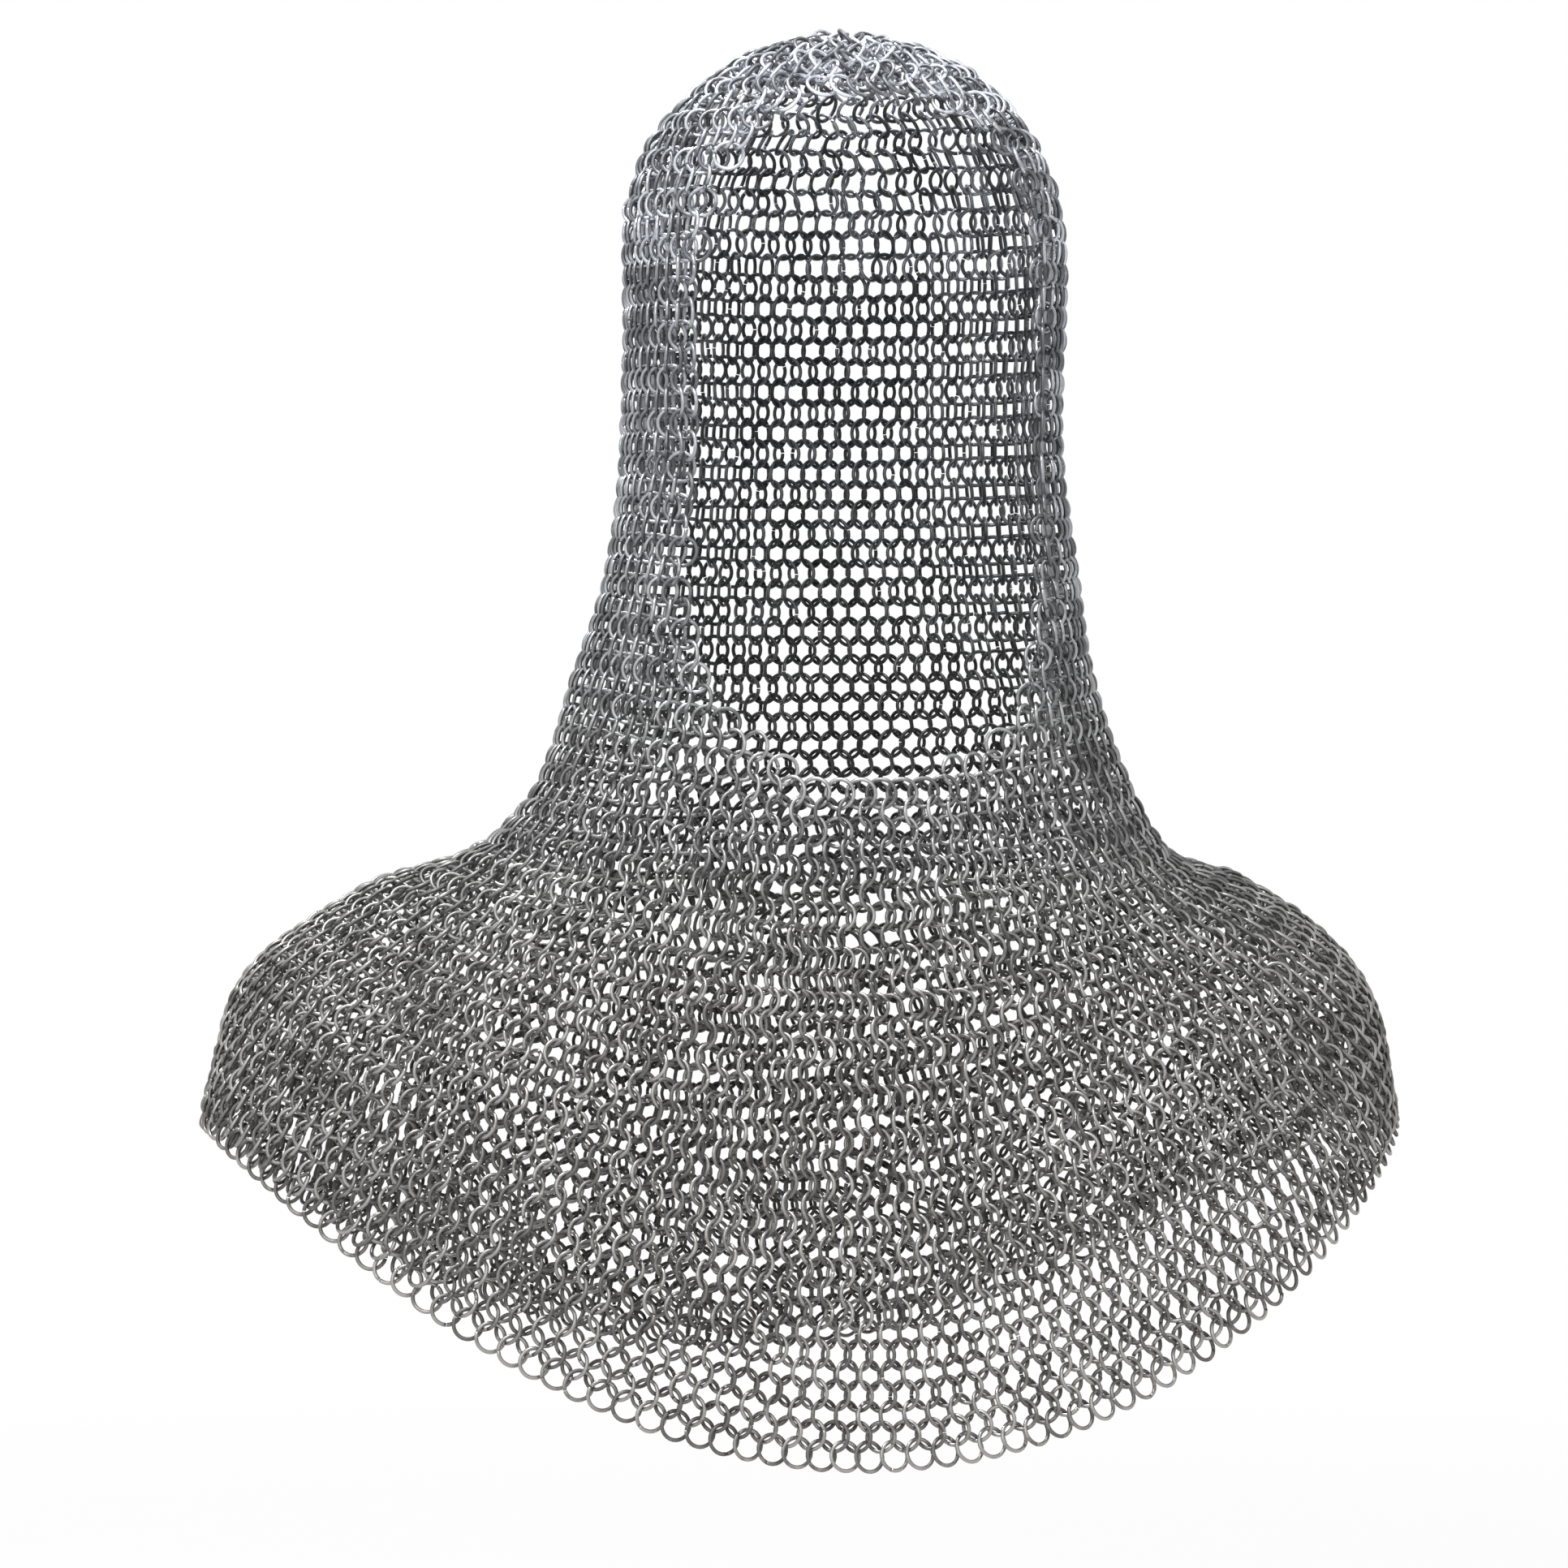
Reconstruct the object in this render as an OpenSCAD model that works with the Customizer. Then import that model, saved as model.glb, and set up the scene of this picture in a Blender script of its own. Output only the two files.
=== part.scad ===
// Mail coif with a shoulder mantle, made wholly of butted wire rings.
// Front faces -Y, up is +Z, and the origin is where the crown rests on the head.
// Rows of rings run round the body. A row number t grows from the crown (0) to the hem.
// An angle q runs round each row from the front centre (0) by the wearer's left side (90).
// Crown, face edges and hem are linked rings, one by one. The rest of the mail is drawn as
// bands of sheet, each as thick as the leaning rings that it stands for. The bands of the
// mantle are open in a plain grid, far coarser than the openings between real rings.

/* [Rings] */
// Inside diameter of a ring
ring_bore = 10; // [9.8:0.1:10.4]
// Thickness of the round wire
wire_d = 1.6; // [1.4:0.05:1.65]
// Lean of each ring out of the mail's surface, in degrees
ring_lean = 26; // [24:1:28]
// Extra lean of the rings held by the centre ring, in degrees
crown_lean = 27; // [25:1:30]

/* [Hood] */
// Width of the hood over the ears, between ring centres
hood_w = 174; // [168:1:180]
// Depth of the hood from brow to back, between ring centres
hood_d = 184; // [178:1:192]
// Height of the dome from the crown to the widest round
dome_h = 87; // [83:1:91]
// Rows of rings from the crown to the widest round
dome_rows = 15; // [15:1:16]
// Height of the chin edge below the crown, at the front
chin_drop = 297; // [290:1:302]
// Rows of rings from the crown to the chin edge
chin_row = 39; // [39:1:40]
// Width between ring centres at the chin row
neck_w = 222; // [214:1:230]
// Height of the nape above the chin edge, along the same row
nape_rise = 8; // [4:1:14]

/* [Face opening] */
// Row at the top of the face opening
brow_row = 7.4; // [7:0.1:8]
// Half width of the face opening, in degrees round the head
face_half_angle = 56; // [50:1:60]
// Width of the linked rings drawn down the sides of the face opening
edge_w = 18; // [14:1:24]

/* [Mantle] */
// Width of the mantle at the hem, between ring centres
mantle_w = 494; // [480:2:510]
// Depth of the mantle at the hem, between ring centres
mantle_d = 306; // [296:2:316]
// Drop from the crown to the hem at the front
hem_front = 563; // [552:1:572]
// Drop from the crown to the hem over the arms
hem_side = 438; // [430:1:446]
// Drop from the crown to the hem at the back
hem_back = 548; // [538:1:558]
// Drop from the crown to where the mail turns over the shoulder
shoulder_drop = 348; // [343:1:353]
// Rows of rings from the chin row to the hem
mantle_rows = 32; // [32:1:33]
// Distance that the shoulders lie behind the middle of the head
shoulder_back = 30; // [24:1:36]
// Distance that the mantle has slipped to the wearer's right
mantle_slip = 10; // [0:1:14]

/* [Weave] */
// Spacing of the rings along a row of the hood
pitch_hood = 7.5; // [7.3:0.05:7.7]
// Spacing of the rings along the mantle's rows, at the front and the back
pitch_front = 7.4; // [7.2:0.1:7.8]
// Spacing of the rings along the mantle's rows, over the arms
pitch_side = 9.4; // [9.2:0.1:9.8]
// Rings held by the centre ring
first_round = 6; // [6:1:6]
// Rounds of linked rings drawn at the crown
crown_rows = 2; // [1:1:2]
// Rows of linked rings drawn at the hem
hem_rows = 3; // [1:1:3]

/* [Hidden] */
ring_r = (ring_bore + wire_d) / 2;
ring_reach = ring_r + wire_d / 2;
ring_rise = ring_r * sin(ring_lean) + wire_d / 2;
// Distance of the first round from the middle, a little short of where its rings pull tight
first_reach = 2 * ring_r - 1.4 * wire_d;
sheet_t = 2 * ring_rise;
gap = 0.3;
clear = edge_w + ring_reach + gap;
ring_facets = 32;
wire_facets = 16;
degree = 180 / PI;
last_row = chin_row + mantle_rows;
chin_z = -chin_drop;
// Usual drop from one row to the next
row_drop = 8.8;
// Share by which the rings of the hood are evened out along their row, and of the mantle
even_hood = 0.6;
even_mantle = 0.6;
// Share by which the rings of the mantle hang square to their row
plumb_share = 0.35;
// First row of the mantle that takes in spare rings, and the plain rows above the hem
spare_row = chin_row + 3;
plain_rows = 16;
// Rows over which the rings spread from the hood's spacing to the mantle's
spread_rows = 9;
// Golden section, which spreads the spare rings over the rows
golden = 0.618;

// Face opening: its widest row, its lowest, and the squareness of its upper and lower half
face_mid_row = 23;
face_foot_row = chin_row + 0.6;
face_power_top = 3;
face_power_foot = 2.2;
// Rows where the linked rings beside the opening start, turn in under the jaw, and close
side_row = dome_rows + 1;
jaw_row = chin_row - 7;
closed_row = face_foot_row + clear / row_drop;
// Row where the free rings of the brow end, and the sheet that stands for them
brow_edge = brow_row + ring_reach / row_drop;

// Where the bands of sheet meet: a row, the height above it in mm, and the steps of the
// band below it. A band of three steps is open in its middle step.
ring_edge = ring_reach + gap / 2;
grid_steps = 3;
// Share of such a band's height that its openings take up
grid_share = 0.5;
seams = [
    [crown_rows, -ring_edge, 2],
    [5, 0, 2],
    [brow_edge, 0, 4],
    [10.5, 0, 2],
    [side_row, ring_edge, 2],
    [19, 0, 2],
    [22.5, 0, 2],
    [26, 0, 2],
    [29.5, 0, 2],
    [chin_row - 7, 0, 2],
    [chin_row - 3.5, 0, 2],
    [chin_row, 0, 4],
    [closed_row, 0, 2],
    [chin_row + 7, 0, grid_steps],
    [chin_row + 10.5, 0, grid_steps],
    [chin_row + 14, 0, grid_steps],
    [chin_row + 17, 0, grid_steps],
    [chin_row + 20, 0, grid_steps],
    [chin_row + 23, 0, grid_steps],
    [chin_row + 26, 0, grid_steps],
    [last_row - hem_rows + 1, ring_edge, 0]
];
band_names = [
    "dome_band_1", "dome_band_2", "dome_band_3", "dome_band_4",
    "hood_band_1", "hood_band_2", "hood_band_3", "hood_band_4",
    "hood_band_5", "hood_band_6", "hood_band_7",
    "neck_band_1", "neck_band_2",
    "shoulder_band_1", "shoulder_band_2", "shoulder_band_3",
    "mantle_band_1", "mantle_band_2", "mantle_band_3", "mantle_band_4"
];

// Shape of the mail at a row: half width, front depth, back depth, the heights of side,
// front and back, the crowding of the rings towards the sides, and the row's setback
stations = [
    [dome_rows, [hood_w / 2, hood_d / 2, hood_d / 2, -dome_h, -dome_h, -dome_h, 0, 0]],
    [dome_rows + 11, [hood_w / 2 + 1, hood_d / 2 - 4, hood_d / 2 + 2,
        -dome_h - 95, -dome_h - 99, -dome_h - 96, 0, 2]],
    [chin_row, [neck_w / 2, hood_d / 2 - 4, hood_d / 2 - 6,
        chin_z + 13, chin_z, chin_z + nape_rise, 0.03, 8]],
    [chin_row + 6.5, [neck_w / 2 + 27, hood_d / 2 + 14, hood_d / 2 + 4,
        -shoulder_drop + 20, chin_z - 51, chin_z - 40, 0.09, 18]],
    [chin_row + 13, [mantle_w / 2 - 63, mantle_d / 2 - 22, mantle_d / 2 - 32,
        -shoulder_drop, chin_z - 111, chin_z - 96, 0.15, shoulder_back - 3]],
    [chin_row + 22, [mantle_w / 2 - 15, mantle_d / 2 - 2, mantle_d / 2 - 10,
        -hem_side + 53, -hem_front + 79, -hem_back + 79, 0.19, shoulder_back]],
    [last_row, [mantle_w / 2, mantle_d / 2 + 8, mantle_d / 2 - 8,
        -hem_side, -hem_front, -hem_back, 0.12, shoulder_back]]
];
last_station = len(stations) - 1;

function slope(k) =
    let (a = max(k - 1, 0), b = min(k + 1, last_station))
    (stations[b][1] - stations[a][1]) / (stations[b][0] - stations[a][0]);

function station_before(t, k = 0) =
    k >= last_station - 1 || t < stations[k + 1][0] ? k : station_before(t, k + 1);

// Smooth run through the stations
function draped(t) =
    let (
        k = station_before(t),
        h = stations[k + 1][0] - stations[k][0],
        u = (t - stations[k][0]) / h,
        ease = u^2 * (3 - 2 * u)
    )
    stations[k][1] * (1 - ease) + stations[k + 1][1] * ease
    + slope(k) * h * u * (1 - u)^2 - slope(k + 1) * h * u^2 * (1 - u);

// Dome: the first round hangs from the centre ring, and the rest are evenly spaced. It is
// round at the crown and as oval as the hood at its widest round.
function domed(t) =
    let (
        r = (hood_w + hood_d) / 4,
        first = asin(first_reach / r),
        b = t <= 1 ? t * first : first + (90 - first) * (t - 1) / (dome_rows - 1),
        oval = 1 - cos(b),
        w = (r + (hood_w / 2 - r) * oval) * sin(b),
        d = (r + (hood_d / 2 - r) * oval) * sin(b),
        z = -dome_h * oval
    )
    [w, d, d, z, z, z, 0, 0];

// Shapes at every half row, so that each is worked out once
shapes = [for (t = [0:0.5:last_row + 1]) t < dome_rows ? domed(t) : draped(t)];
function shape(t) =
    t < dome_rows ? domed(t) : t * 2 == floor(t * 2) ? shapes[t * 2] : draped(t);

// Point of the mail's middle surface on row t at the angle q
function place(t, q) =
    let (
        s = shape(t),
        a = q - s[6] * degree * sin(2 * q),
        ahead = cos(a) >= 0,
        low = ahead ? s[4] : s[5],
        slip = mantle_slip * s[7] / shoulder_back
    )
    [s[0] * sin(a) - slip, s[7] - (ahead ? s[1] : s[2]) * cos(a),
        ring_rise + s[3] + (low - s[3]) * cos(a)^2];

function unit(v) = v / norm(v);

// Directions along the row, down the mail and out of it
function axes(t, q) =
    let (
        along = unit(place(t, q + 1) - place(t, q - 1)),
        down = place(t + 0.02, q) - place(t - 0.02, q),
        fall = unit(down - along * (down * along))
    )
    [along, fall, cross(fall, along)];

// Drop of the mail from half a row above to half a row below, square to the row
function drop(t, q) =
    let (
        along = unit(place(t, q + 1) - place(t, q - 1)),
        down = place(t + 0.5, q) - place(t - 0.5, q)
    )
    norm(down - along * (down * along));

function sum(v) = v * [for (x = v) 1];
function next(row, i) = i < len(row) - 1 ? row[i + 1] : row[0] + 360;
function previous(row, i) = i > 0 ? row[i - 1] : row[len(row) - 1] - 360;

// Spare rings that each ring of a row would take, from how far the row below it stretches
round_steps = 24;
function round_length(t) =
    sum([for (i = [1:round_steps])
        norm(place(t, i * 360 / round_steps) - place(t, (i - 1) * 360 / round_steps))]);
function rings_at(t) = t <= 1 ? first_round : round(round_length(t) / pitch_hood);
function pitch(t, q) =
    let (f = max(0, min(1, (t - chin_row) / spread_rows)))
    pitch_hood * (1 - f) + (pitch_front + (pitch_side - pitch_front) * sin(q)^2) * f;
function spare(row, t) =
    let (n = len(row))
    t < dome_rows ? let (s = max(0, min(n, rings_at(t + 1) - n)) / n) [for (q = row) s] :
    t < spare_row || t > last_row - plain_rows ? [for (q = row) 0] :
    [for (i = [0:n - 1])
        let (stretch = norm(place(t + 1, next(row, i)) - place(t + 1, previous(row, i))) / 2)
        max(0, stretch / pitch(t + 1, row[i]) - 1)];

// Angle at which the mail below the angle q hangs, drawn towards square to its row
function plumb(t, q) =
    let (
        down = place(t + 1, q) - place(t, q),
        along = (place(t + 0.5, q + 1) - place(t + 0.5, q - 1)) / 2
    )
    q - plumb_share * (down * along) / (along * along);

// Rings drawn towards even spacing round the whole row, or between their neighbours
function evened_round(row) =
    let (n = len(row), first = sum(row) / n - (n - 1) / 2 * 360 / n)
    [for (i = [0:n - 1]) row[i] * (1 - even_hood) + even_hood * (first + i * 360 / n)];
function evened_near(row) =
    [for (i = [0:len(row) - 1])
        row[i] * (1 - even_mantle) + even_mantle * (next(row, i) + previous(row, i)) / 2];

// Row below a row: each ring hangs between two, and a spare ring hangs from one alone
function grown(row, t) =
    let (
        n = len(row),
        s = spare(row, t),
        start = t * golden,
        total = [for (i = 0, c = start + s[0]; i < n; i = i + 1, c = c + (i < n ? s[i] : 0)) c],
        hung = [for (i = [0:n - 1]) each concat(
            floor(total[i] - s[i]) < floor(total[i]) ? [row[i]] : [],
            [(row[i] + next(row, i)) / 2])]
    )
    t < chin_row ? evened_round(hung) :
    evened_near(evened_near([for (q = hung) plumb(t, q)]));

function rows_from(t, row) = t > last_row ? [] : concat([row], rows_from(t + 1, grown(row, t)));

// Angles of all rings, by row
ring_rows = rows_from(1, [for (i = [0:first_round - 1]) i * 360 / first_round]);

// Half angle of the face opening at row t, widened all round by a distance in mm
function face_half(t, wider) =
    let (
        above = t < face_mid_row,
        rows = (above ? face_mid_row - brow_row : face_foot_row - face_mid_row)
            + wider / row_drop,
        power = above ? face_power_top : face_power_foot,
        u = abs(t - face_mid_row) / rows
    )
    u >= 1 ? 0 : (face_half_angle + wider / (hood_w / 2) * degree) * (1 - u^power)^(1 / power);

function in_face(t, q, wider) = abs(q - 360 * round(q / 360)) < face_half(t, wider);

module ring() {
    rotate_extrude($fn = ring_facets)
        translate([ring_r, 0])
            circle(d = wire_d, $fn = wire_facets);
}

// Ring of row t at the angle q, leaning one way in even rows and the other in odd ones
module ring_at(t, q) {
    p = place(t, q);
    a = axes(t, q);
    lean = (ring_lean + crown_lean * max(0, 1 - (t - 1) / 3)) * (t % 2 == 0 ? 1 : -1);
    x = a[0] * cos(lean) + a[2] * sin(lean);
    y = a[1];
    z = cross(x, y);
    multmatrix([[x[0], y[0], z[0], p[0]], [x[1], y[1], z[1], p[1]], [x[2], y[2], z[2], p[2]]])
        ring();
}

module crown_centre_ring() {
    color("gray")
        translate([0, 0, ring_rise])
            ring();
}

module ring_row(t) {
    color("gray")
        for (q = ring_rows[t - 1])
            ring_at(t, q);
}

// Rings within the edge width of the face opening
module face_edge(first, last, side) {
    color("gray")
        for (t = [first:last])
            for (q = ring_rows[t - 1])
                if (!in_face(t, q, 0) && in_face(t, q, edge_w) && (side == 0 || sin(q) * side > 0))
                    ring_at(t, q);
}

// Band of sheet below seam k, with the face opening left out and its grid of openings
module band(k) {
    around = 48;
    top = seams[k];
    foot = seams[k + 1];
    down = top[2];
    closed = foot[0] <= brow_edge || top[0] >= closed_row;
    wider = top[0] < side_row ? -ring_reach : clear;
    cols = closed ? around : around + 1;
    shares = down == grid_steps ? [0, (1 - grid_share) / 2, (1 + grid_share) / 2, 1] :
        [for (j = [0:down]) j / down];
    function row(j) = top[0] + (foot[0] - top[0]) * shares[j];
    function angle(j, i) =
        let (open = closed ? 0 : max(face_half(row(j), wider), 1))
        open + i * (360 - 2 * open) / around;
    function height(q, j) =
        let (
            a = top[0] - (top[1] - gap / 2) / drop(top[0], q),
            b = foot[0] - (foot[1] + gap / 2) / drop(foot[0], q)
        )
        a + (b - a) * shares[j];
    function layer(side) = [for (j = [0:down]) for (i = [0:cols - 1])
        let (q = angle(j, i), t = height(q, j))
        place(t, q) + axes(t, q)[2] * side * sheet_t / 2];
    function at(side, j, i) = (side * (down + 1) + j) * cols + (closed ? i % cols : i);
    function quad(a, b, c, d) = [[a, b, c], [a, c, d]];
    function skins(j, i) = concat(
        quad(at(0, j, i), at(0, j, i + 1), at(0, j + 1, i + 1), at(0, j + 1, i)),
        quad(at(1, j, i), at(1, j + 1, i), at(1, j + 1, i + 1), at(1, j, i + 1)));
    function upper_rim(j, i) =
        quad(at(0, j, i), at(1, j, i), at(1, j, i + 1), at(0, j, i + 1));
    function lower_rim(j, i) =
        quad(at(0, j, i), at(0, j, i + 1), at(1, j, i + 1), at(1, j, i));
    function first_end(j, i) =
        quad(at(0, j, i), at(0, j + 1, i), at(1, j + 1, i), at(1, j, i));
    function last_end(j, i) =
        quad(at(0, j, i), at(1, j, i), at(1, j + 1, i), at(0, j + 1, i));
    // Every other cell of the middle step is open, and the next band's are shifted by one
    function opening(j, i) = down == grid_steps && j == 1 && (i + k) % 2 == 0;
    cells = [for (j = [0:down - 1]) for (i = [0:around - 1]) each
        opening(j, i) ?
            concat(lower_rim(j, i), upper_rim(j + 1, i), last_end(j, i), first_end(j, i + 1)) :
            skins(j, i)];
    rims = [for (i = [0:around - 1]) each concat(upper_rim(0, i), lower_rim(down, i))];
    ends = closed ? [] :
        [for (j = [0:down - 1]) each concat(first_end(j, 0), last_end(j, around))];
    color("dimgray")
        polyhedron(concat(layer(1), layer(-1)), concat(cells, rims, ends));
}

crown_centre_ring();
for (t = [1:crown_rows])
    ring_row(t);
for (k = [0:len(band_names) - 1])
    band(k);
face_edge(side_row, jaw_row - 1, 1);  // face_edge_left
face_edge(side_row, jaw_row - 1, -1);  // face_edge_right
face_edge(jaw_row, ceil(closed_row), 0);  // face_edge_chin
for (k = [1:hem_rows])
    ring_row(last_row - hem_rows + k);
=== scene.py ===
import math
import bpy
import numpy as np
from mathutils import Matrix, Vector


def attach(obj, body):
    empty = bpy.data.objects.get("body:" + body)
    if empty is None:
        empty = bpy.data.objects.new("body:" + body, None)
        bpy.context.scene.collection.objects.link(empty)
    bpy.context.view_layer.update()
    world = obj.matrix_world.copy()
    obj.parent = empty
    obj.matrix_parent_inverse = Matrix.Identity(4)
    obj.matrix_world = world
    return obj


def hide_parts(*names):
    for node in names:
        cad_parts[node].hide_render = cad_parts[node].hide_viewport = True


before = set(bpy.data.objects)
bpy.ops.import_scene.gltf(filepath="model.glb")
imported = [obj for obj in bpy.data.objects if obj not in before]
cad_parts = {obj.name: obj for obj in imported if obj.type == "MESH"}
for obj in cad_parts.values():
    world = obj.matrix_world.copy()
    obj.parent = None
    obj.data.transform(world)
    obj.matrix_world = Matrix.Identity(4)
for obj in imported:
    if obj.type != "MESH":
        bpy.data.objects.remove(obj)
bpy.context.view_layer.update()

# Crown
# The mail starts from one ring at the top of the head. Six rings hang from it and twelve
# from those, all of round mild steel wire, wound on a mandrel, cut and closed by hand.
RING_BORE = 10.0e-3
WIRE = 1.6e-3
RING_R = (RING_BORE + WIRE) / 2
RING_RISE = 3.34e-3
FIRST_REACH = 2 * RING_R - 1.4 * WIRE
CROWN_LEAN = (53, 44, 35)

HOOD_W, HOOD_D = 0.174, 0.184
DOME_H = 0.087
DOME_ROWS = 15
CHIN_Z = -0.297
CHIN_ROW = 39
NECK_W = 0.222
NAPE_RISE = 0.008
MANTLE_W, MANTLE_D = 0.494, 0.306
HEM_FRONT, HEM_SIDE, HEM_BACK = 0.563, 0.438, 0.548
SHOULDER_DROP = 0.348
SHOULDER_BACK = 0.030
MANTLE_SLIP = 0.010
LAST_ROW = CHIN_ROW + 32
HEM_ROWS = 3
PITCH_HOOD, PITCH_FRONT, PITCH_SIDE = 7.5e-3, 7.4e-3, 9.4e-3

# Shape of the mail at a row: half width, front depth, back depth, the heights of side,
# front and back, the crowding of the rings towards the sides, and the row's setback
TEMPLE_ROW, COLLAR_ROW = DOME_ROWS + 11, CHIN_ROW + 6.5
SHOULDER_ROW, ARM_ROW = CHIN_ROW + 13, CHIN_ROW + 22
hang = [
    (DOME_ROWS, HOOD_W / 2, HOOD_D / 2, HOOD_D / 2, -DOME_H, -DOME_H, -DOME_H, 0, 0),
    (TEMPLE_ROW, HOOD_W / 2 + 0.001, HOOD_D / 2 - 0.004, HOOD_D / 2 + 0.002,
     -DOME_H - 0.095, -DOME_H - 0.099, -DOME_H - 0.096, 0, 0.002),
    (CHIN_ROW, NECK_W / 2, HOOD_D / 2 - 0.004, HOOD_D / 2 - 0.006,
     CHIN_Z + 0.013, CHIN_Z, CHIN_Z + NAPE_RISE, 0.03, 0.008),
    (COLLAR_ROW, NECK_W / 2 + 0.027, HOOD_D / 2 + 0.014, HOOD_D / 2 + 0.004,
     -SHOULDER_DROP + 0.020, CHIN_Z - 0.051, CHIN_Z - 0.040, 0.09, 0.018),
    (SHOULDER_ROW, MANTLE_W / 2 - 0.063, MANTLE_D / 2 - 0.022, MANTLE_D / 2 - 0.032,
     -SHOULDER_DROP, CHIN_Z - 0.111, CHIN_Z - 0.096, 0.15, SHOULDER_BACK - 0.003),
    (ARM_ROW, MANTLE_W / 2 - 0.015, MANTLE_D / 2 - 0.002, MANTLE_D / 2 - 0.010,
     -HEM_SIDE + 0.053, -HEM_FRONT + 0.079, -HEM_BACK + 0.079, 0.19, SHOULDER_BACK),
    (LAST_ROW, MANTLE_W / 2, MANTLE_D / 2 + 0.008, MANTLE_D / 2 - 0.008,
     -HEM_SIDE, -HEM_FRONT, -HEM_BACK, 0.12, SHOULDER_BACK)]
hang_row = np.array([h[0] for h in hang], float)
hang_at = np.array([h[1:] for h in hang], float)
last = len(hang) - 1
hang_slope = np.array([
    (hang_at[min(k + 1, last)] - hang_at[max(k - 1, 0)])
    / (hang_row[min(k + 1, last)] - hang_row[max(k - 1, 0)]) for k in range(len(hang))])


def drape(t, q):
    """Places on the mail's middle surface, at rows t and angles q in degrees."""
    t, q = np.broadcast_arrays(np.asarray(t, float), np.asarray(q, float))
    k = np.clip(np.searchsorted(hang_row, t, side="right") - 1, 0, last - 1)
    h = hang_row[k + 1] - hang_row[k]
    u = ((t - hang_row[k]) / h)[..., None]
    ease = u * u * (3 - 2 * u)
    s = (hang_at[k] * (1 - ease) + hang_at[k + 1] * ease
         + hang_slope[k] * h[..., None] * u * (1 - u) ** 2
         - hang_slope[k + 1] * h[..., None] * u * u * (1 - u))
    dome_r = (HOOD_W + HOOD_D) / 4
    first = math.asin(FIRST_REACH / dome_r)
    b = np.where(t <= 1, t * first, first + (math.pi / 2 - first) * (t - 1) / (DOME_ROWS - 1))
    oval = 1 - np.cos(b)
    w = (dome_r + (HOOD_W / 2 - dome_r) * oval) * np.sin(b)
    d = (dome_r + (HOOD_D / 2 - dome_r) * oval) * np.sin(b)
    z = -DOME_H * oval
    dome = np.stack([w, d, d, z, z, z, 0 * z, 0 * z], -1)
    s = np.where((t < DOME_ROWS)[..., None], dome, s)
    half_w, front, rear, side_z, front_z, rear_z, crowd, setback = np.moveaxis(s, -1, 0)
    a = np.radians(q)
    a = a - crowd * np.sin(2 * a)
    ahead = np.cos(a) >= 0
    low = np.where(ahead, front_z, rear_z)
    depth = np.where(ahead, front, rear)
    slip = MANTLE_SLIP * setback / SHOULDER_BACK
    return np.stack([half_w * np.sin(a) - slip, setback - depth * np.cos(a),
                     RING_RISE + side_z + (low - side_z) * np.cos(a) ** 2], -1)


def unit(v):
    return v / np.linalg.norm(v, axis=-1, keepdims=True)


def lie(t, q, surface=drape):
    """Directions along the row, down the mail and out of it."""
    along = unit(surface(t, q + 1) - surface(t, q - 1))
    down = surface(t + 0.02, q) - surface(t - 0.02, q)
    fall = unit(down - along * np.sum(down * along, -1, keepdims=True))
    return along, fall, np.cross(fall, along)


# Rows take in spare rings on the dome, and again between two rows of the mantle, where
# their spacing turns from the hood's to the mantle's over the first rows below the chin.
# From row to row the spare rings move on by a golden share of the space between two.
SPARE_FROM, SPARE_END, SPREAD_ROWS = CHIN_ROW + 3, LAST_ROW - 16, 9
SPARE_TURN = 0.618
# How far rings of the hood stand evenly, and those of the mantle straight below
EVEN_HOOD, SQUARE = 0.6, 0.35


def row_below(row, t):
    """Angles of the next row: each ring hangs between two, a spare ring from one alone."""
    n = len(row)
    after = np.append(row[1:], row[0] + 360)
    before = np.insert(row[:-1], 0, row[-1] - 360)
    if t < DOME_ROWS:
        turn = np.arange(25) * 15
        length = np.linalg.norm(np.diff(drape(t + 1, turn), axis=0), axis=1).sum()
        extra = np.full(n, np.clip(round(length / PITCH_HOOD) - n, 0, n) / n)
    elif t < SPARE_FROM or t > SPARE_END:
        extra = np.zeros(n)
    else:
        stretch = np.linalg.norm(drape(t + 1, after) - drape(t + 1, before), axis=1) / 2
        f = np.clip((t + 1 - CHIN_ROW) / SPREAD_ROWS, 0, 1)
        mantle = PITCH_FRONT + (PITCH_SIDE - PITCH_FRONT) * np.sin(np.radians(row)) ** 2
        extra = np.maximum(0, stretch / (PITCH_HOOD * (1 - f) + mantle * f) - 1)
    owed = np.cumsum(extra) + t * SPARE_TURN
    below = []
    for i in range(n):
        if math.floor(owed[i] - extra[i]) < math.floor(owed[i]):
            below.append(row[i])
        below.append((row[i] + after[i]) / 2)
    below = np.array(below)
    m = len(below)
    if t < CHIN_ROW:
        first = below.mean() - (m - 1) / 2 * 360 / m
        return below * (1 - EVEN_HOOD) + EVEN_HOOD * (first + np.arange(m) * 360 / m)
    down = drape(t + 1, below) - drape(t, below)
    along = (drape(t + 0.5, below + 1) - drape(t + 0.5, below - 1)) / 2
    below = below - SQUARE * (down * along).sum(1) / (along * along).sum(1)
    for _ in range(2):
        below = 0.4 * below + 0.3 * (np.append(below[1:], below[0] + 360)
                                     + np.insert(below[:-1], 0, below[-1] - 360))
    return below


rows = [np.arange(6) * 60.0]
for t in range(1, LAST_ROW):
    rows.append(row_below(rows[-1], t))
ring_t = np.concatenate([np.full(len(row), t) for t, row in enumerate(rows, 1)]).astype(float)
ring_q = np.concatenate(rows)

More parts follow.
